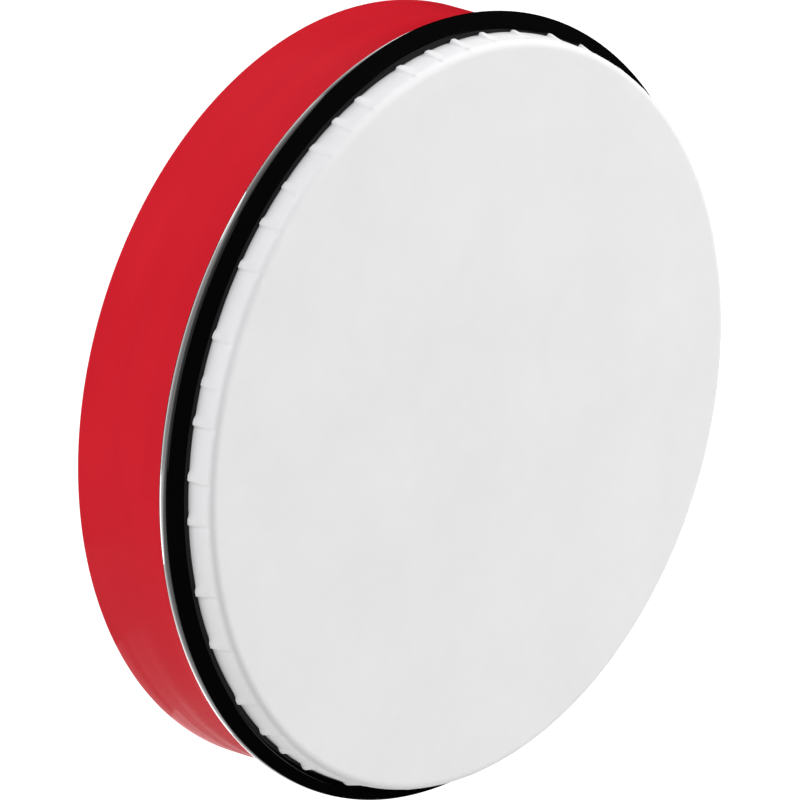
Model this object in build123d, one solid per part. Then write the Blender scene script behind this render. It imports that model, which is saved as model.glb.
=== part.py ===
"""Frame drum: a hand-held drum with a moulded ring shell and a pleated synthetic head.

The drum lies on its open back with the head up. The origin is the centre of the back rim's
plane and +Z is the drum's axis. All sizes are in millimetres.
"""

import os
from math import sqrt

from build123d import *

# ---- Driving dimensions -------------------------------------------------------------------

SKIRT_R = 127.0  # outside of the skin where it goes under the counter hoop: a 10 inch drum
DRUM_DEPTH = 57.0  # back rim to the top of the skin
SKIN_T = 0.4
HEAD_RISE = 9.3  # the skin's top above the counter hoop's front face
SHOULDER_R = 126.3  # outside of the skin where it turns over the bearing edge
SHOULDER_ROUND = 2.8

SHELL_BACK_R = 129.7
SHELL_LEDGE_R = 128.4  # the mould draft takes the wall from SHELL_BACK_R to this
SHELL_WALL = 3.4
RIM_BEAD_WIDTH = 4.9
RIM_BEAD_DEPTH = 6.0
RIM_BEAD_STEP = 1.0  # how much of the bead's depth its sloped inner face takes
RIM_ROUND = 1.5
RIM_BEAD_WALL_ROUND = 1.0
RIM_BEAD_EDGE_ROUND = 0.8
LEDGE_Z = 42.0  # step in the wall that the flesh hoop's lap rests above
LEDGE_ROUND = 0.3
SEAT_GAP = 0.1  # between the skin's skirt and the shell's seat under it
BELT_R = 122.4  # inside of the thick belt that carries the bearing edge
BELT_DEPTH = 22.5  # bearing edge down to the start of the belt
BELT_RAMP = 3.5
BELT_TOP_ROUND = 0.8
BELT_RAMP_ROUND = 1.5

HOOP_DEPTH = 9.1
HOOP_OUTER_R = 133.1
HOOP_BACK_ROUND = 3.5
HOOP_LIP_R = 129.2  # outside edge of the hoop's flat front face
HOOP_LIP_T = 3.1
HOOP_BORE_R = 128.85
LIP_GAP = 0.1  # between the skirt and the hoop's lip
HOOP_BORE_ROUND = 0.2
HOOP_SHOULDER_ROUND = 0.3
HOOP_LIP_ROUND = 0.4

WIRE_R = 0.6
LAP_GAP = 0.05  # between the wire and the skin lapped around it
LAP_RISE = 1.1  # how far the lapped end reaches above the wire's centre

SCREW_COUNT = 12
SCREW_R = 1.1
SCREW_TIP_R = 131.3  # distance of the screw's tip from the drum's axis
SCREW_POINT = 1.2
SCREW_POINT_R = 0.22
SCREW_HEAD_R = 2.1
SCREW_HEAD_T = 1.3
SCREW_HEAD_ROUND = 0.65
SCREW_BELOW_LEDGE = 1.8
PILOT_GAP = 0.03
CLEARANCE_GAP = 0.2
DRILL_OVERRUN = 1.0
RECESS_LENGTH = 2.4
RECESS_WIDTH = 0.6
RECESS_DEPTH = 0.8

# ---- Derived levels and radii --------------------------------------------------------------

HOOP_FRONT_Z = DRUM_DEPTH - HEAD_RISE
HOOP_BACK_Z = HOOP_FRONT_Z - HOOP_DEPTH
HOOP_SHOULDER_Z = HOOP_FRONT_Z - HOOP_LIP_T
BEARING_Z = DRUM_DEPTH - SKIN_T
SEAT_R = SHOULDER_R - SKIN_T - SEAT_GAP
LAP_R = WIRE_R + LAP_GAP  # inside radius of the lap around the wire
WIRE_RING_R = SKIRT_R + LAP_R
WIRE_Z = LEDGE_Z + SEAT_GAP + SKIN_T + LAP_R
SCREW_Z = LEDGE_Z - SCREW_BELOW_LEDGE


def turned(outline):
    """A solid of revolution about the drum's axis from a closed outline in (r, z)."""
    return revolve(Plane.XZ * make_face(outline), Axis.Z)


def around(piece):
    """Copies of a piece that lies on +X, at each screw's place around the drum."""
    step = 360 / SCREW_COUNT
    return [Rot(0, 0, step * (index + 0.5)) * piece for index in range(SCREW_COUNT)]


def radial_cylinder(radius, start_r, end_r):
    """A cylinder along +X at the screws' level, between two distances from the axis."""
    seat = Plane(origin=(start_r, 0, SCREW_Z), x_dir=(0, 1, 0), z_dir=(1, 0, 0))
    return extrude(seat * Circle(radius), end_r - start_r)


# ---- Shell ---------------------------------------------------------------------------------


def make_shell():
    """Ring with a drafted wall, a beaded back rim and a thick belt up to the bearing edge."""
    back_bore_r = SHELL_BACK_R - RIM_BEAD_WIDTH
    wall_bore_r = SHELL_BACK_R - SHELL_WALL
    belt_z = BEARING_Z - BELT_DEPTH
    corners = [
        ((SHELL_BACK_R, 0), RIM_ROUND),
        ((SHELL_LEDGE_R, LEDGE_Z), LEDGE_ROUND),
        ((SEAT_R, LEDGE_Z), LEDGE_ROUND),
        ((SEAT_R, BEARING_Z), SHOULDER_ROUND - SKIN_T),
        ((BELT_R, BEARING_Z), BELT_TOP_ROUND),
        ((BELT_R, belt_z), BELT_RAMP_ROUND),
        ((wall_bore_r, belt_z - BELT_RAMP), BELT_RAMP_ROUND),
        ((wall_bore_r, RIM_BEAD_DEPTH), RIM_BEAD_WALL_ROUND),
        ((back_bore_r, RIM_BEAD_DEPTH - RIM_BEAD_STEP), RIM_BEAD_EDGE_ROUND),
        ((back_bore_r, 0), RIM_ROUND),
    ]
    points = [point for point, _ in corners]
    rounds = [corner_round for _, corner_round in corners]
    ring = turned(FilletPolyline(*points, radius=rounds, close=True))
    hole = radial_cylinder(
        SCREW_R + CLEARANCE_GAP, BELT_R - DRILL_OVERRUN, SHELL_BACK_R + DRILL_OVERRUN
    )
    return ring - around(hole)


# ---- Head ----------------------------------------------------------------------------------


def make_head():
    """Skin: a flat disc, a shoulder, a skirt and an end lapped around the flesh hoop."""
    skirt_bore_r = SKIRT_R - SKIN_T
    shoulder_bore_r = SHOULDER_R - SKIN_T
    outer_lap = LAP_R + SKIN_T
    lap_top_z = WIRE_Z + LAP_RISE
    wire = (WIRE_RING_R, WIRE_Z)

    top = Polyline((0, BEARING_Z), (0, DRUM_DEPTH), (SHOULDER_R - SHOULDER_ROUND, DRUM_DEPTH))
    shoulder = RadiusArc(
        top @ 1, (SHOULDER_R, DRUM_DEPTH - SHOULDER_ROUND), SHOULDER_ROUND
    )
    skirt = Polyline(shoulder @ 1, (SKIRT_R, HOOP_FRONT_Z), (SKIRT_R, WIRE_Z))
    inner_lap = CenterArc(wire, LAP_R, 180, 180)
    lap_end = Polyline(
        inner_lap @ 1,
        (wire[0] + LAP_R, lap_top_z),
        (wire[0] + outer_lap, lap_top_z),
        (wire[0] + outer_lap, WIRE_Z),
    )
    lap = CenterArc(wire, outer_lap, 0, -180)
    inside = Polyline(
        lap @ 1,
        (skirt_bore_r, HOOP_FRONT_Z),
        (shoulder_bore_r, DRUM_DEPTH - SHOULDER_ROUND),
    )
    inner_shoulder = RadiusArc(
        inside @ 1, (SHOULDER_R - SHOULDER_ROUND, BEARING_Z), -(SHOULDER_ROUND - SKIN_T)
    )
    under = Line(inner_shoulder @ 1, top @ 0)
    outline = [top, shoulder, skirt, inner_lap, lap_end, lap, inside, inner_shoulder, under]
    return turned(Curve() + outline)


# ---- Flesh hoop ----------------------------------------------------------------------------


def make_flesh_hoop():
    """Wire ring inside the skirt's lapped end."""
    return Pos(0, 0, WIRE_Z) * Torus(WIRE_RING_R, WIRE_R)


# ---- Counter hoop --------------------------------------------------------------------------


def make_counter_hoop():
    """Clamping ring: a flat front face, a flared flank and a fully rounded back."""
    round_r = HOOP_OUTER_R - HOOP_BACK_ROUND
    round_z = HOOP_BACK_Z + HOOP_BACK_ROUND
    lip_r = SKIRT_R + LIP_GAP

    # The flank is the straight line from the lip's edge that meets the rounding tangentially.
    reach_r = round_r - HOOP_LIP_R
    reach_z = HOOP_FRONT_Z - round_z
    reach = sqrt(reach_r**2 + reach_z**2)
    flank = sqrt(reach**2 - HOOP_BACK_ROUND**2)
    along_r = (flank * reach_r + HOOP_BACK_ROUND * reach_z) / reach**2
    along_z = (flank * reach_z - HOOP_BACK_ROUND * reach_r) / reach**2
    tangent = (HOOP_LIP_R + flank * along_r, HOOP_FRONT_Z - flank * along_z)

    face = FilletPolyline(
        (round_r, HOOP_BACK_Z),
        (HOOP_BORE_R, HOOP_BACK_Z),
        (HOOP_BORE_R, HOOP_SHOULDER_Z),
        (lip_r, HOOP_SHOULDER_Z),
        (lip_r, HOOP_FRONT_Z),
        (HOOP_LIP_R, HOOP_FRONT_Z),
        tangent,
        radius=[
            HOOP_BORE_ROUND,
            HOOP_SHOULDER_ROUND,
            HOOP_SHOULDER_ROUND,
            HOOP_LIP_ROUND,
            HOOP_LIP_ROUND,
        ],
    )
    back = ThreePointArc(
        tangent,
        (HOOP_OUTER_R, round_z),
        (round_r, HOOP_BACK_Z),
    )
    ring = turned(Curve() + [face, back])
    pilot = radial_cylinder(
        SCREW_R + PILOT_GAP, HOOP_BORE_R - DRILL_OVERRUN, SCREW_TIP_R + PILOT_GAP
    )
    return ring - around(pilot)


# ---- Hoop screws ---------------------------------------------------------------------------


def make_hoop_screws():
    """Pan-head self-tapping screws through the belt into the counter hoop."""
    # The head's flat underside touches the round wall only at the head's own edge.
    seat_r = sqrt(BELT_R**2 - SCREW_HEAD_R**2)
    head_r = seat_r - SCREW_HEAD_T
    head = radial_cylinder(SCREW_HEAD_R, head_r, seat_r)
    head = fillet(head.edges().sort_by(Axis.X)[0], SCREW_HEAD_ROUND)
    shank = radial_cylinder(SCREW_R, seat_r, SCREW_TIP_R - SCREW_POINT)
    tip_plane = Plane(
        origin=(SCREW_TIP_R - SCREW_POINT / 2, 0, SCREW_Z), x_dir=(0, 1, 0), z_dir=(1, 0, 0)
    )
    point = tip_plane * Cone(SCREW_R, SCREW_POINT_R, SCREW_POINT)
    screw = head + shank + point
    for length_y, length_z in ((RECESS_LENGTH, RECESS_WIDTH), (RECESS_WIDTH, RECESS_LENGTH)):
        slot = Box(2 * RECESS_DEPTH, length_y, length_z)
        screw -= Pos(head_r, 0, SCREW_Z) * slot
    return Compound(children=around(screw))


# ---- Export --------------------------------------------------------------------------------

NODES = {
    "shell": make_shell,
    "head": make_head,
    "flesh_hoop": make_flesh_hoop,
    "counter_hoop": make_counter_hoop,
    "hoop_screws": make_hoop_screws,
}

os.makedirs("parts", exist_ok=True)
for node, make in NODES.items():
    export_step(make(), f"parts/{node}.step")
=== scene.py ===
"""Looks of the frame drum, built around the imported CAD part.

The scene is in metres, in the part's own frame: the drum lies on its back rim on the floor,
its head up, with its axis on Z. The drum's own sizes are named below in millimetres.
"""

import math

import bpy
import numpy as np
from mathutils import Matrix, Vector


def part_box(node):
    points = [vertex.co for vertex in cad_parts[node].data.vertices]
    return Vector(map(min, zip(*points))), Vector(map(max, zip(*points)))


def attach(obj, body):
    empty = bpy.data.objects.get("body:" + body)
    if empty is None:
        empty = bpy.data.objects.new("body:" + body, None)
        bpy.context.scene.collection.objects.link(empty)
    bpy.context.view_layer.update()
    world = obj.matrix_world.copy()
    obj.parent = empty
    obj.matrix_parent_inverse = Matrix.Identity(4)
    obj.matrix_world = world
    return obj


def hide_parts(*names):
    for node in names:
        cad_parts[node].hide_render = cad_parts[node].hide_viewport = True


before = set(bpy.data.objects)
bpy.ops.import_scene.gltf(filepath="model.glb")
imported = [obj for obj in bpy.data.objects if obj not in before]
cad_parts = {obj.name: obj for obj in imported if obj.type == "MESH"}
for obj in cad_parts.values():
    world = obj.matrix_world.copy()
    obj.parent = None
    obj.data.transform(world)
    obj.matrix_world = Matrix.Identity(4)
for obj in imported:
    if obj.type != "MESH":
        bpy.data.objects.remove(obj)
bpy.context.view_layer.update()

MM = 0.001

# ---- Sizes read from the frame, in millimetres ------------------------------------------------

DRUM_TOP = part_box("head")[1].z / MM
HOOP_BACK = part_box("counter_hoop")[0].z / MM
HOOP_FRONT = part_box("counter_hoop")[1].z / MM
HOOP_OUTER_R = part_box("counter_hoop")[1].x / MM
SHELL_BACK_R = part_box("shell")[1].x / MM
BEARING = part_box("shell")[1].z / MM
WIRE_R = (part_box("flesh_hoop")[1].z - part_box("flesh_hoop")[0].z) / 2 / MM
WIRE_Z = (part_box("flesh_hoop")[1].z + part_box("flesh_hoop")[0].z) / 2 / MM
WIRE_RING_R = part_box("flesh_hoop")[1].x / MM - WIRE_R
SKIN_T = DRUM_TOP - BEARING

# ---- Sizes repeated from the CAD part, in millimetres -----------------------------------------

SKIRT_R = 127.0
SHOULDER_R = 126.3
SHOULDER_ROUND = 2.8
LAP_GAP = 0.05  # between the flesh hoop and the skin lapped around it
LAP_RISE = 1.1  # how far the lapped end reaches above the flesh hoop's centre

RIM_ROUND = 1.5
LEDGE_R = 128.4
LEDGE_Z = 42.0
LEDGE_ROUND = 0.3
SEAT_R = 125.8
SHELL_WALL = 3.4
BELT_R = 122.4
BELT_DEPTH = 22.5
BELT_RAMP = 3.5
BELT_TOP_ROUND = 0.8
BELT_RAMP_ROUND = 1.5
RIM_BEAD_WIDTH = 4.9
RIM_BEAD_DEPTH = 6.0
RIM_BEAD_STEP = 1.0
RIM_BEAD_WALL_ROUND = 1.0

LIP_BORE_R = 127.1
LIP_EDGE_R = 129.2
LIP_T = 3.1
LIP_EDGE_ROUND = 0.4
HOOP_BORE_R = 128.85
HOOP_BORE_ROUND = 0.2
HOOP_BACK_ROUND = 3.5

SCREW_COUNT = 12
SCREW_Z = 40.2
SCREW_HOLE_R = 1.3

# ---- Settings of the visible meshes alone, with lengths in millimetres ------------------------

RIM_BEAD_EDGE_ROUND = 0.3
LIP_BORE_ROUND = 0.3
SUPPORT = 0.15  # flat kept beside a rounded corner, so that the corner shades cleanly
DRILL_LENGTH = 12.0
DRILL_SIDES = 48
CORNER_STEPS = 6
SHELL_COLUMNS = 600
HOOP_COLUMNS = 720
SHELL_SHARP_DEGREES = 40
HOOP_SHARP_DEGREES = 50


# ---- Mesh helpers -----------------------------------------------------------------------------


def new_object(name, points, faces):
    """A smooth-shaded mesh object from points in millimetres and lists of vertex indices."""
    mesh = bpy.data.meshes.new(name)
    mesh.from_pydata(np.asarray(points, float) * MM, [], faces)
    mesh.validate()
    mesh.shade_smooth()
    obj = bpy.data.objects.new(name, mesh)
    bpy.context.scene.collection.objects.link(obj)
    return obj


def arc(centre, radius, start, end, steps):
    """Points (r, z) along an arc between two angles in degrees."""
    angles = np.radians(np.linspace(start, end, steps + 1))
    return [(centre[0] + radius * math.cos(a), centre[1] + radius * math.sin(a)) for a in angles]


def rounded(corners):
    """A closed outline with each corner ((r, z), radius) rounded, and held flat beside it."""
    outline = []
    for index, (corner, radius) in enumerate(corners):
        here = Vector(corner)
        before = Vector(corners[index - 1][0])
        after = Vector(corners[(index + 1) % len(corners)][0])
        back = (before - here).normalized()
        ahead = (after - here).normalized()
        half = back.angle(ahead) / 2
        reach = radius / math.tan(half)
        centre = here + (back + ahead).normalized() * radius / math.sin(half)
        start = here + back * reach - centre
        end = here + ahead * reach - centre
        first = math.atan2(start.y, start.x)
        turn = (math.atan2(end.y, end.x) - first + math.pi) % (2 * math.pi) - math.pi
        outline.append(tuple(centre + start + back * SUPPORT))
        outline += arc(
            centre, radius, math.degrees(first), math.degrees(first + turn), CORNER_STEPS
        )
        outline.append(tuple(centre + end + ahead * SUPPORT))
    return outline


def ring_faces(columns, rows, flip):
    """Quads that join a grid of columns around the axis and rows around a closed outline."""
    column, row = np.meshgrid(np.arange(columns), np.arange(rows), indexing="ij")
    next_column = (column + 1) % columns
    next_row = (row + 1) % rows
    quads = np.stack(
        [
            column * rows + row,
            next_column * rows + row,
            next_column * rows + next_row,
            column * rows + next_row,
        ],
        axis=-1,
    ).reshape(-1, 4)
    return (quads[:, ::-1] if flip else quads).tolist()


def clockwise(outline):
    """Whether a closed outline of (r, z) runs clockwise, by the sign of its area."""
    r, z = np.array(outline).T
    return float(np.sum(r * np.roll(z, -1) - np.roll(r, -1) * z)) < 0


def lathe(name, outline, columns):
    """A solid of revolution about Z from a closed outline of (r, z)."""
    r, z = np.array(outline).T
    angle = np.linspace(0, 2 * math.pi, columns, endpoint=False)[:, None]
    points = np.stack([r * np.cos(angle), r * np.sin(angle), z + 0 * angle], axis=-1)
    return new_object(name, points.reshape(-1, 3), ring_faces(columns, len(r), clockwise(outline)))


# ---- Shell ------------------------------------------------------------------------------------


def make_drill():
    """One object that holds a cylinder through the belt at each screw's place."""
    middle = (BELT_R + SHELL_BACK_R) / 2 * MM
    cylinders = []
    for index in range(SCREW_COUNT):
        angle = 2 * math.pi * (index + 0.5) / SCREW_COUNT
        place = (middle * math.cos(angle), middle * math.sin(angle), SCREW_Z * MM)
        turn = Matrix.Rotation(angle, 4, "Z") @ Matrix.Rotation(math.pi / 2, 4, "Y")
        bpy.ops.mesh.primitive_cylinder_add(
            vertices=DRILL_SIDES, radius=SCREW_HOLE_R * MM, depth=DRILL_LENGTH * MM
        )
        cylinder = bpy.context.active_object
        cylinder.matrix_world = Matrix.Translation(place) @ turn
        cylinders.append(cylinder)
    bpy.ops.object.select_all(action="DESELECT")
    for cylinder in cylinders:
        cylinder.select_set(True)
    bpy.context.view_layer.objects.active = cylinders[0]
    bpy.ops.object.join()
    return bpy.context.active_object


def make_shell():
    """The moulded ring: drafted wall, beaded back rim, belt up to the bearing edge, holes."""
    back_bore = SHELL_BACK_R - RIM_BEAD_WIDTH
    wall_bore = SHELL_BACK_R - SHELL_WALL
    belt = BEARING - BELT_DEPTH
    outline = rounded(
        [
            ((SHELL_BACK_R, 0), RIM_ROUND),
            ((LEDGE_R, LEDGE_Z), LEDGE_ROUND),
            ((SEAT_R, LEDGE_Z), LEDGE_ROUND),
            ((SEAT_R, BEARING), SHOULDER_ROUND - SKIN_T),
            ((BELT_R, BEARING), BELT_TOP_ROUND),
            ((BELT_R, belt), BELT_RAMP_ROUND),
            ((wall_bore, belt - BELT_RAMP), BELT_RAMP_ROUND),
            ((wall_bore, RIM_BEAD_DEPTH), RIM_BEAD_WALL_ROUND),
            ((back_bore, RIM_BEAD_DEPTH - RIM_BEAD_STEP), RIM_BEAD_EDGE_ROUND),
            ((back_bore, 0), RIM_ROUND),
        ]
    )
    shell = lathe("shell_body", outline, SHELL_COLUMNS)
    drill = make_drill()
    bpy.context.view_layer.objects.active = shell
    cut = shell.modifiers.new("holes", "BOOLEAN")
    cut.object = drill
    cut.operation = "DIFFERENCE"
    cut.solver = "EXACT"
    bpy.ops.object.modifier_apply(modifier=cut.name)
    bpy.data.objects.remove(drill)
    shell.data.set_sharp_from_angle(angle=math.radians(SHELL_SHARP_DEGREES))
    return shell


# ---- Counter hoop -----------------------------------------------------------------------------


def make_counter_hoop():
    """The clamping ring: flat lip, flared flank and a fully rounded back."""
    centre = (HOOP_OUTER_R - HOOP_BACK_ROUND, HOOP_BACK + HOOP_BACK_ROUND)
    reach = Vector((centre[0] - LIP_EDGE_R, centre[1] - HOOP_FRONT))
    lean = math.atan2(-reach.y, reach.x) - math.asin(HOOP_BACK_ROUND / reach.length)
    flank = math.degrees(math.pi / 2 - lean)  # angle of the flank's outward normal
    back = arc(centre, HOOP_BACK_ROUND, -90, flank, steps=20)

    edge_turn = LIP_EDGE_ROUND * math.tan(math.radians(90 - flank) / 2)
    edge = (LIP_EDGE_R - edge_turn, HOOP_FRONT - LIP_EDGE_ROUND)
    front = arc(edge, LIP_EDGE_ROUND, flank, 90, steps=6)
    down = Vector((math.sin(math.radians(flank)), -math.cos(math.radians(flank)))) * SUPPORT
    front.insert(0, (front[0][0] + down.x, front[0][1] + down.y))
    front.append((front[-1][0] - SUPPORT, HOOP_FRONT))

    shoulder = HOOP_FRONT - LIP_T
    lip_r = LIP_BORE_R + LIP_BORE_ROUND
    lip = arc((lip_r, HOOP_FRONT - LIP_BORE_ROUND), LIP_BORE_ROUND, 90, 180, steps=5)
    inner = arc((lip_r, shoulder + LIP_BORE_ROUND), LIP_BORE_ROUND, 180, 270, steps=4)
    bore = [(HOOP_BORE_R, shoulder), (HOOP_BORE_R, shoulder - SUPPORT)]
    bore_end_centre = (HOOP_BORE_R + HOOP_BORE_ROUND, HOOP_BACK + HOOP_BORE_ROUND)
    bore_end = arc(bore_end_centre, HOOP_BORE_ROUND, 180, 270, steps=3)
    outline = back + front + lip + inner + bore + bore_end
    hoop = lathe("counter_hoop_ring", outline, HOOP_COLUMNS)
    hoop.data.set_sharp_from_angle(angle=math.radians(HOOP_SHARP_DEGREES))
    return hoop


# ---- Skin -------------------------------------------------------------------------------------

SKIRT_BOTTOM = HOOP_FRONT
SKIRT_TOP = DRUM_TOP - SHOULDER_ROUND
LAP_TOP = WIRE_Z + LAP_RISE

# Where each gathered pleat ends, in degrees around the drum. The rest of the circle has
# HIDDEN_PLEATS more, at random gaps.
PLEAT_ENDS = [
    55.2, 62.3, 70.1, 78.6, 85.7, 91.9, 97.5, 103.7, 113.0, 118.2, 123.8, 131.0, 137.3, 144.2,
    154.9, 161.7, 167.4, 175.5, 182.1, 193.4, 202.6, 214.2, 222.2, 228.0, 234.4, 245.0, 255.1,
]  # fmt: skip
HIDDEN_PLEATS = 19
HIDDEN_GAP = (0.75, 1.3)  # relative widths of the gaps between hidden pleats
PLEAT_HEIGHT = (0.75, 1.4)  # millimetres that its ridge stands out at the hoop
PLEAT_SLANT = (-0.5, 0.6)  # millimetres that a pleat's end leans by the crest
PLEAT_DROP = 1.2  # millimetres around the drum over which a pleat falls away
PLEAT_RIDGE = 3.6  # millimetres around the drum from the foot of its ridge to its end
PLEAT_FLAT = 1.3  # millimetres along the top of its ridge
PLEAT_REACH = (0.75, 1.02)  # share of the skirt's height that a pleat climbs
SWELL = 0.22  # share of a pleat's height that builds up slowly before its ridge
SCALLOP = 0.18  # millimetres that the film dips in between two pleats
LIP_CLIMB = 0.02  # share of the skirt's height over which the folds come out of the hoop

DENT = 0.34  # depth of the dent where a pleat ends
DENT_ALONG = 1.0  # millimetres from the pleat's end to the middle of its dent
DENT_WIDTH = 1.0
DENT_ABOVE = 0.12  # share of the skirt's height from the pleat's top to the middle of its dent
DENT_CLIMB = 0.22  # about half of the dent's own height, as such a share
INSIDE_DENT = 0.08  # how far the film's inner face may dip towards the shell

CREST = 0.1  # millimetres that the shoulder is further out at a pleat's end than between two
CREST_AT = 1.2  # the climb where that is most
CREST_CLIMB = 0.35
CREST_WIDTH = 2.0
CREST_DIP = 0.3  # share of CREST that is a dip between two pleats

# Mesh columns around each pleat, from the end of the one before.
DROP_COLUMNS = (0, 0.2, 0.4, 0.6, 0.8, 1.0, 1.6, 2.6)  # shares of PLEAT_DROP
MIDDLE_COLUMNS = 10
RIDGE_COLUMNS = (3.0, 2.2, 1.6, 1.2, 0.9, 0.65, 0.45, 0.28, 0.14)  # millimetres before its end

# Mesh rows: radii on the flat head, degrees over the shoulder, heights above the hoop's front.
HEAD_RADII = (0, 40, 80, 108, 117, 121, 123)
SHOULDER_DEGREES = range(90, -1, -10)
SKIRT_RISES = (5.8, 5.3, 4.6, 3.9, 3.2, 2.5, 1.8, 1.2, 0.7, 0.35, 0.15)
OUTSIDE_ROWS = len(HEAD_RADII) + len(SHOULDER_DEGREES) + len(SKIRT_RISES)
CLAMPED_RISES = (-0.02, -1.2, -2.7)
LAP_STEPS = 8
INSIDE_CLAMPED_RISES = (-1.7, -0.02)
INSIDE_SHOULDER_DEGREES = range(0, 91, 18)
INSIDE_HEAD_RADII = (118, 80, 0)

random = np.random.default_rng(792)


def pleat_columns():
    """The angle of each mesh column, and what pleat it is on."""
    gap = random.uniform(*HIDDEN_GAP, HIDDEN_PLEATS + 1)
    span = 360 - PLEAT_ENDS[-1] + PLEAT_ENDS[0]
    hidden = PLEAT_ENDS[-1] + np.cumsum(gap / gap.sum() * span)[:-1]
    ends = np.sort(np.concatenate([PLEAT_ENDS, hidden % 360]))
    count = len(ends)
    height = random.uniform(*PLEAT_HEIGHT, count)
    slant = random.uniform(*PLEAT_SLANT, count)
    reach = random.uniform(*PLEAT_REACH, count)
    columns = []
    for index in range(count):
        width = (ends[index] - ends[index - 1]) % 360 * math.pi / 180 * SKIRT_R
        drop = PLEAT_DROP * np.array(DROP_COLUMNS)
        late = width - np.array(RIDGE_COLUMNS)
        middle = np.linspace(drop[-1], late[0], MIDDLE_COLUMNS + 2)[1:-1]
        for along in np.concatenate([drop, middle, late]):
            columns.append(
                (
                    ends[index - 1] * math.pi / 180 + along / SKIRT_R,
                    along,
                    width,
                    height[index],
                    height[index - 1],
                    slant[index - 1] + (slant[index] - slant[index - 1]) * along / width,
                    reach[index],
                    reach[index - 1],
                )
            )
    return np.array(columns).T


def skin_rows():
    """Rows (r, z, normal r, normal z, climb) down the outside and back up the inside.

    Climb is -1 under the hoop, 0 at the hoop's front, 1 at the start of the shoulder and 2 on
    the flat head.
    """
    centre_r = SHOULDER_R - SHOULDER_ROUND
    centre_z = DRUM_TOP - SHOULDER_ROUND
    cone = (SKIRT_R - SHOULDER_R) / (SKIRT_TOP - SKIRT_BOTTOM)

    def over_shoulder(degrees, radius):
        a = math.radians(degrees)
        r = centre_r + radius * math.cos(a)
        z = centre_z + radius * math.sin(a)
        return (r, z, math.cos(a), math.sin(a), 1 + degrees / 90)

    def on_skirt(rise, inset):
        climb = rise / (SKIRT_TOP - SKIRT_BOTTOM)
        return (SKIRT_R - inset - cone * rise, SKIRT_BOTTOM + rise, 1, 0, climb)

    def clamped(r, z):
        return (r, z, 1, 0, -1)

    wire = (WIRE_RING_R, WIRE_Z)
    inner = WIRE_R + LAP_GAP
    outer = inner + SKIN_T
    rows = [(r, DRUM_TOP, 0, 1, 2.0) for r in HEAD_RADII]
    rows += [over_shoulder(degrees, SHOULDER_ROUND) for degrees in SHOULDER_DEGREES]
    rows += [on_skirt(rise, 0) for rise in SKIRT_RISES]
    rows += [clamped(SKIRT_R, SKIRT_BOTTOM + rise) for rise in CLAMPED_RISES]
    rows += [clamped(r, z) for r, z in arc(wire, inner, 180, 360, LAP_STEPS)]
    rows.append(clamped(WIRE_RING_R + inner, LAP_TOP))
    rows.append(clamped(WIRE_RING_R + outer, LAP_TOP))
    rows += [clamped(r, z) for r, z in arc(wire, outer, 360, 180, LAP_STEPS)]
    rows += [clamped(SKIRT_R - SKIN_T, SKIRT_BOTTOM + rise) for rise in INSIDE_CLAMPED_RISES]
    rows += [on_skirt(rise, SKIN_T) for rise in SKIRT_RISES[::-2]]
    inside_round = SHOULDER_ROUND - SKIN_T
    rows += [over_shoulder(degrees, inside_round) for degrees in INSIDE_SHOULDER_DEGREES]
    rows += [(r, BEARING, 0, 1, 2.0) for r in INSIDE_HEAD_RADII]
    return np.array(rows, float).T


def smooth(t):
    """A smooth step from 0 at t = 0 to 1 at t = 1."""
    t = np.clip(t, 0, 1)
    return t * t * (3 - 2 * t)


def bell(value, centre, width):
    """1 at the centre, and close to 0 from two widths away."""
    return np.exp(-(((value - centre) / width) ** 2))


def fade(climb, end):
    """1 at the hoop's front and under it, and 0 from the climb where it ends."""
    return np.clip(1 - climb / end, 0, 1)


def skin_lift(along, width, height, past, reach, past_reach, climb):
    """Millimetres that the film stands out, on a grid of columns and rows."""
    # A fold grows slowly and falls away sharply, and between two the film is pulled straight.
    ridge = smooth((along - width + PLEAT_RIDGE) / (PLEAT_RIDGE - PLEAT_FLAT))
    rise = SWELL * smooth(along / width) + (1 - SWELL) * ridge
    fall = 1 - smooth(along / PLEAT_DROP)
    fold = height * rise * fade(climb, reach) + past * fall * fade(climb, past_reach)
    dip = SCALLOP * np.sin(math.pi * along / width) * fade(climb, 1)
    dent_height = bell(climb, past_reach + DENT_ABOVE, DENT_CLIMB)
    dent = DENT * bell(along, DENT_ALONG, DENT_WIDTH) * dent_height
    nearest = np.minimum(along, width - along)
    crest_height = bell(climb, CREST_AT, CREST_CLIMB)
    crest = CREST * crest_height * (bell(nearest, 0, CREST_WIDTH) - CREST_DIP)
    lift = smooth(climb / LIP_CLIMB) * (fold - dip) - dent + crest
    outside = np.arange(climb.size) < OUTSIDE_ROWS
    return np.maximum(lift, np.where(outside, -DENT, -INSIDE_DENT))


def make_skin():
    """The head: one film over the bearing edge, gathered into pleats above the hoop."""
    angle, along, width, height, past, slant, reach, past_reach = pleat_columns()[:, :, None]
    r, z, normal_r, normal_z, climb = skin_rows()[:, None, :]
    lift = skin_lift(along, width, height, past, reach, past_reach, climb)
    turned = angle + slant * np.clip(climb, 0, 1) / SKIRT_R
    out = r + lift * normal_r
    up = z + lift * normal_z
    points = np.stack([out * np.cos(turned), out * np.sin(turned), up], axis=-1)
    columns, rows = points.shape[:2]
    # The first and last rows are both on the axis, so each is one point and has no ring.
    order = np.arange(columns * rows)
    order[order % rows == 0] = 0
    order[order % rows == rows - 1] = rows - 1
    faces = []
    for face in order[np.array(ring_faces(columns, rows, True))].tolist():
        ring = [point for index, point in enumerate(face) if point != face[index - 1]]
        if len(ring) > 2:
            faces.append(ring)
    used = sorted({point for face in faces for point in face})
    place = {point: index for index, point in enumerate(used)}
    faces = [[place[point] for point in face] for face in faces]
    return new_object("drum_skin", points.reshape(-1, 3)[used], faces)


# ---- Materials --------------------------------------------------------------------------------

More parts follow.
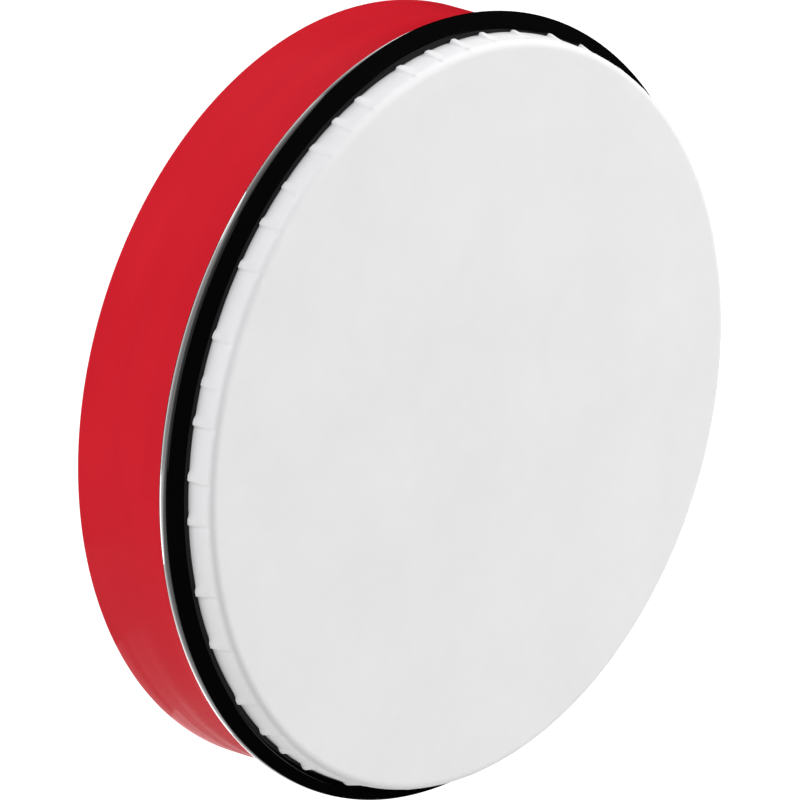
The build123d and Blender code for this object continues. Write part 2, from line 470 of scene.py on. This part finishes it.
SOCKETS = {
    "base": "Base Color",
    "rough": "Roughness",
    "metal": "Metallic",
    "specular": "Specular IOR Level",
    "normal": "Normal",
    "sheen": "Sheen Weight",
    "sheen_rough": "Sheen Roughness",
}
MIX_FIRST = 6  # the Mix node's sockets for colours share their names with its other sockets
MIX_SECOND = 7
MIX_RESULT = 2


class Nodes:
    """Builds a material's node tree in short calls."""

    def __init__(self, name):
        self.material = bpy.data.materials.new(name)
        self.material.use_nodes = True
        self.tree = self.material.node_tree
        self.shader = self.tree.nodes["Principled BSDF"]

    def add(self, kind, **settings):
        """A new node with its settings."""
        node = self.tree.nodes.new(kind)
        for key, value in settings.items():
            setattr(node, key, value)
        return node

    def link(self, value, socket):
        """Joins another node's output to a socket, or sets the socket to a plain value."""
        if isinstance(value, bpy.types.NodeSocket):
            self.tree.links.new(value, socket)
        else:
            socket.default_value = value

    def math(self, operation, *values):
        """The result of one Math node."""
        node = self.add("ShaderNodeMath", operation=operation)
        for value, socket in zip(values, node.inputs):
            self.link(value, socket)
        return node.outputs[0]

    def place(self):
        """Coordinates in the piece's own frame, in metres."""
        return self.add("ShaderNodeTexCoord").outputs["Object"]

    def around(self, stretch):
        """Coordinates (way around / stretch, distance out, height) in metres."""
        parts = self.add("ShaderNodeSeparateXYZ")
        self.link(self.place(), parts.inputs[0])
        x, y, z = parts.outputs
        way = self.math("MULTIPLY", self.math("ARCTAN2", y, x), SKIRT_R * MM / stretch)
        squares = self.math("ADD", self.math("POWER", x, 2.0), self.math("POWER", y, 2.0))
        joined = self.add("ShaderNodeCombineXYZ")
        for value, socket in zip((way, self.math("SQRT", squares), z), joined.inputs):
            self.link(value, socket)
        return joined.outputs[0]

    def noise(self, vector, size, detail=3.0, rough=0.5, distort=0.0):
        """Noise whose features are about size metres across."""
        node = self.add("ShaderNodeTexNoise")
        self.link(vector, node.inputs["Vector"])
        node.inputs["Scale"].default_value = 1 / size
        node.inputs["Detail"].default_value = detail
        node.inputs["Roughness"].default_value = rough
        node.inputs["Distortion"].default_value = distort
        return node.outputs["Fac"]

    def between(self, value, low, high, low_at=0.3, high_at=0.7):
        """A value that goes from low to high as the given one goes from low_at to high_at."""
        node = self.add("ShaderNodeMapRange")
        for given, socket in zip((value, low_at, high_at, low, high), node.inputs):
            self.link(given, socket)
        return node.outputs[0]

    def mix(self, share, first, second):
        """A colour that goes from the first to the second as the share goes from 0 to 1."""
        node = self.add("ShaderNodeMix", data_type="RGBA")
        self.link(share, node.inputs["Factor"])
        node.inputs[MIX_FIRST].default_value = (*first, 1)
        node.inputs[MIX_SECOND].default_value = (*second, 1)
        return node.outputs[MIX_RESULT]

    def bump(self, height, depth, under=None):
        """A bump whose full height is depth metres."""
        node = self.add("ShaderNodeBump")
        node.inputs["Strength"].default_value = 1.0
        node.inputs["Distance"].default_value = depth
        self.link(height, node.inputs["Height"])
        if under is not None:
            self.link(under, node.inputs["Normal"])
        return node.outputs[0]

    def finish(self, **inputs):
        """The material, once the shader's sockets are linked or set."""
        for name, value in inputs.items():
            self.link(value, self.shader.inputs[SOCKETS[name]])
        return self.material


RED = (0.61, 0.006, 0.018)
RED_DEEP = (0.56, 0.005, 0.016)
BLACK = (0.0022, 0.0021, 0.0021)
BLACK_WORN = (0.0045, 0.0043, 0.0042)
SKIN = (0.80, 0.795, 0.80)
SKIN_SHADE = (0.775, 0.77, 0.772)
STEEL = (0.62, 0.62, 0.63)
STEEL_DULL = (0.48, 0.48, 0.49)


def red_plastic():
    """Satin moulded plastic with flow lines around the drum."""
    n = Nodes("red moulded plastic")
    flow = n.noise(n.around(stretch=30.0), size=0.009, detail=4.0, rough=0.6)
    cloud = n.noise(n.place(), size=0.05, detail=2.0)
    peel = n.noise(n.place(), size=0.0016, detail=2.0)
    grit = n.noise(n.around(stretch=6.0), size=0.0004, detail=3.0, rough=0.7)
    tone = n.math("ADD", n.math("MULTIPLY", flow, 0.6), n.math("MULTIPLY", cloud, 0.4))
    smear = n.math("ADD", n.math("MULTIPLY", grit, 0.35), n.math("MULTIPLY", cloud, 0.65))
    slow = n.bump(flow, depth=0.00008)
    return n.finish(
        base=n.mix(n.between(tone, 0.0, 1.0, low_at=0.35, high_at=0.65), RED_DEEP, RED),
        rough=n.between(smear, 0.30, 0.42),
        specular=0.12,
        normal=n.bump(grit, depth=0.000006, under=n.bump(peel, depth=0.00002, under=slow)),
    )


def black_plastic():
    """Gloss plastic with smudges, and hair lines around the drum where it is worn."""
    n = Nodes("black glossy plastic")
    hair = n.noise(n.around(stretch=40.0), size=0.00035, detail=4.0, rough=0.75)
    smudge = n.noise(n.place(), size=0.018, detail=4.0, rough=0.6, distort=0.6)
    peel = n.noise(n.place(), size=0.004, detail=1.0)
    scratched = n.between(hair, 0.0, 1.0, low_at=0.55, high_at=0.75)
    worn = n.math("MULTIPLY", scratched, n.between(smudge, 0.0, 1.0))
    return n.finish(
        base=n.mix(worn, BLACK, BLACK_WORN),
        rough=n.math("ADD", n.between(smudge, 0.06, 0.11), n.math("MULTIPLY", worn, 0.06)),
        specular=0.14,
        normal=n.bump(hair, depth=0.000002, under=n.bump(peel, depth=0.00002)),
    )


def skin_film():
    """Matte film with a cloudy tone, small flecks and a fine fibrous grain."""
    n = Nodes("synthetic drum skin")
    place = n.place()
    cloud = n.noise(place, size=0.045, detail=3.0, rough=0.55)
    fleck = n.noise(place, size=0.006, detail=4.0, rough=0.65)
    grain = n.noise(place, size=0.0007, detail=4.0, rough=0.7)
    fibre = n.noise(place, size=0.0025, detail=5.0, rough=0.75, distort=1.5)
    tone = n.math("ADD", n.math("MULTIPLY", cloud, 0.7), n.math("MULTIPLY", fleck, 0.3))
    return n.finish(
        base=n.mix(n.between(tone, 0.0, 1.0, low_at=0.38, high_at=0.62), SKIN_SHADE, SKIN),
        rough=n.between(fleck, 0.5, 0.66),
        specular=0.3,
        sheen=0.04,
        sheen_rough=0.5,
        normal=n.bump(grain, depth=0.000018, under=n.bump(fibre, depth=0.00002)),
    )


def steel(name, stretch):
    """Satin steel with dull patches, and marks stretched around the drum."""
    n = Nodes(name)
    drawn = n.noise(n.around(stretch), size=0.0003, detail=4.0, rough=0.7)
    dull = n.noise(n.place(), size=0.004, detail=3.0)
    return n.finish(
        base=n.mix(n.between(dull, 0.0, 1.0), STEEL_DULL, STEEL),
        metal=1.0,
        rough=n.between(dull, 0.22, 0.4),
        normal=n.bump(drawn, depth=0.000004),
    )


def dress(obj, material):
    """Gives a piece one material in place of what it has."""
    obj.data.materials.clear()
    obj.data.materials.append(material)


# ---- Pieces -----------------------------------------------------------------------------------

shell = make_shell()
dress(shell, red_plastic())
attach(shell, "root")
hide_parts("shell")

hoop = make_counter_hoop()
dress(hoop, black_plastic())
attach(hoop, "root")
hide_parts("counter_hoop")

skin = make_skin()
dress(skin, skin_film())
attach(skin, "root")
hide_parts("head")

dress(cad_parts["flesh_hoop"], steel("drawn steel wire", stretch=30.0))
dress(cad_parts["hoop_screws"], steel("zinc-plated steel", stretch=3.0))

# ---- Floor, in metres -------------------------------------------------------------------------

FLOOR_SIZE = 16.0
FLOOR_COLOUR = (0.05, 0.05, 0.05, 1)
FLOOR_GLOW = 1.2
FLOOR_ROUGHNESS = 0.9


def floor_paint():
    """Glows white, and is nearly black itself, so that the lamps hardly change it."""
    n = Nodes("pale floor")
    n.shader.inputs["Emission Color"].default_value = (1, 1, 1, 1)
    n.shader.inputs["Emission Strength"].default_value = FLOOR_GLOW
    # Seen from below, the floor isn't there, so that the drum's open back can be looked into.
    one_sided = n.add("ShaderNodeMixShader")
    n.link(n.add("ShaderNodeNewGeometry").outputs["Backfacing"], one_sided.inputs[0])
    n.link(n.shader.outputs[0], one_sided.inputs[1])
    n.link(n.add("ShaderNodeBsdfTransparent").outputs[0], one_sided.inputs[2])
    n.link(one_sided.outputs[0], n.tree.nodes["Material Output"].inputs["Surface"])
    return n.finish(base=FLOOR_COLOUR, rough=FLOOR_ROUGHNESS, specular=0.0)


floor = new_object(
    "floor",
    np.array([(-1, -1, 0), (1, -1, 0), (1, 1, 0), (-1, 1, 0)]) * FLOOR_SIZE / 2 / MM,
    [[0, 1, 2, 3]],
)
dress(floor, floor_paint())
floor.visible_glossy = False

# ---- Light, in metres, watts and degrees ------------------------------------------------------

WORLD_STRENGTH = 0.37
RIGHT_POWER = 116
LEFT_POWER = 13
LEFT_COLOUR = (0.95, 0.95, 1.0)
LOW_POWER = 6
SIDE_BOX_SIZE = (1.0, 0.4)
GLOSS_POWER = 14
RIM_PANEL_POWER = 8
RIM_LIGHTS = (  # the piece that shows each disc of light on the floor, its centre, size, radiance
    (hoop, (-0.145, 0.055), 0.11, 7.0),
    (hoop, (-0.145, 0.045), 0.17, 14.0),
    (hoop, (-0.190, 0.040), 0.34, 2.6),
    (hoop, (-0.160, -0.010), 0.46, 3.2),
    (hoop, (-0.640, 0.100), 1.20, 3.2),
    (shell, (-0.010, -0.200), 0.18, 1.4),
    (shell, (-0.020, -0.205), 0.26, 0.9),
    (shell, (-0.030, -0.210), 0.34, 0.55),
    (shell, (-0.040, -0.215), 0.42, 0.35),
)
DISC_HEIGHT = 0.0006

world = bpy.data.worlds.new("studio")
bpy.context.scene.world = world
world.use_nodes = True
background = world.node_tree.nodes["Background"]
background.inputs["Color"].default_value = (1, 1, 1, 1)
background.inputs["Strength"].default_value = WORLD_STRENGTH
world.cycles_visibility.glossy = False


def toward(azimuth, elevation):
    """The unit vector that points that way from the drum."""
    a = math.radians(azimuth)
    e = math.radians(elevation)
    return Vector((math.cos(a) * math.cos(e), math.sin(a) * math.cos(e), math.sin(e)))


def area_light(name, shape, size, power):
    """An area light that the camera doesn't see."""
    data = bpy.data.lights.new(name, "AREA")
    data.shape = shape
    data.size, data.size_y = size
    data.energy = power
    light = bpy.data.objects.new(name, data)
    light.visible_camera = False
    bpy.context.scene.collection.objects.link(light)
    return light


def softbox(name, azimuth, elevation, distance, size, power):
    """A large area light that faces the drum's middle, seen from there at those angles."""
    light = area_light(name, "RECTANGLE", size, power)
    way = toward(azimuth, elevation)
    light.location = way * distance + Vector((0, 0, HOOP_FRONT * MM))
    light.rotation_euler = way.to_track_quat("Z", "Y").to_euler()
    return light


def only_on(light, piece):
    """Lets a light show in one piece's gloss and nowhere else."""
    name = "only_" + piece.name
    group = bpy.data.collections.get(name) or bpy.data.collections.new(name)
    if piece.name not in group.objects:
        group.objects.link(piece)
    light.visible_diffuse = False
    light.light_linking.receiver_collection = group


right = softbox(
    "right_softbox", azimuth=20, elevation=43, distance=3.5, size=(1.6, 1.6), power=RIGHT_POWER
)
left = softbox(
    "left_softbox", azimuth=130, elevation=8, distance=2.0, size=SIDE_BOX_SIZE, power=LEFT_POWER
)
left.data.color = LEFT_COLOUR
low = softbox(
    "low_softbox", azimuth=235, elevation=8, distance=2.0, size=SIDE_BOX_SIZE, power=LOW_POWER
)
for light in (right, left, low):
    light.visible_glossy = False

# These show in gloss alone, on every piece.
for name, azimuth in (("far_gloss_panel", 285), ("near_gloss_panel", 50)):
    panel = softbox(
        name, azimuth, elevation=32, distance=3.0, size=(1.2, 0.8), power=GLOSS_POWER
    )
    panel.visible_diffuse = False

# A disc's power is its radiance times pi times its area.
for index, (piece, centre, across, radiance) in enumerate(RIM_LIGHTS):
    power = radiance * math.pi * math.pi * across**2 / 4
    disc = area_light(f"rim_light_{index}", "DISK", (across, across), power)
    disc.location = (*centre, DISC_HEIGHT)
    disc.rotation_euler = (math.pi, 0, 0)
    only_on(disc, piece)
rim_panel = softbox(
    "rim_panel", azimuth=157, elevation=8, distance=2.0, size=(2.4, 0.5), power=RIM_PANEL_POWER
)
only_on(rim_panel, hoop)

# ---- Camera, in metres, with its lens in millimetres ------------------------------------------

CAMERA_PLACE = (-1.3924, 0.6405, 1.2926)
CAMERA_RIGHT = (0.6741, 0.0, 0.7385)
CAMERA_UP = (0.2381, 0.9466, -0.2173)
CAMERA_BACK = (-0.6991, 0.3224, 0.6381)
LENS = 270.0
SENSOR = 36.0
NEAREST = 0.05
FURTHEST = 60.0

camera_data = bpy.data.cameras.new("camera")
camera_data.lens = LENS
camera_data.sensor_width = SENSOR
camera_data.clip_start = NEAREST
camera_data.clip_end = FURTHEST
camera = bpy.data.objects.new("camera", camera_data)
axes = Matrix((CAMERA_RIGHT, CAMERA_UP, CAMERA_BACK)).transposed()
camera.matrix_world = Matrix.Translation(CAMERA_PLACE) @ axes.to_4x4()
bpy.context.scene.collection.objects.link(camera)
bpy.context.scene.camera = camera

view = bpy.context.scene.view_settings
view.view_transform = "Standard"
view.look = "None"
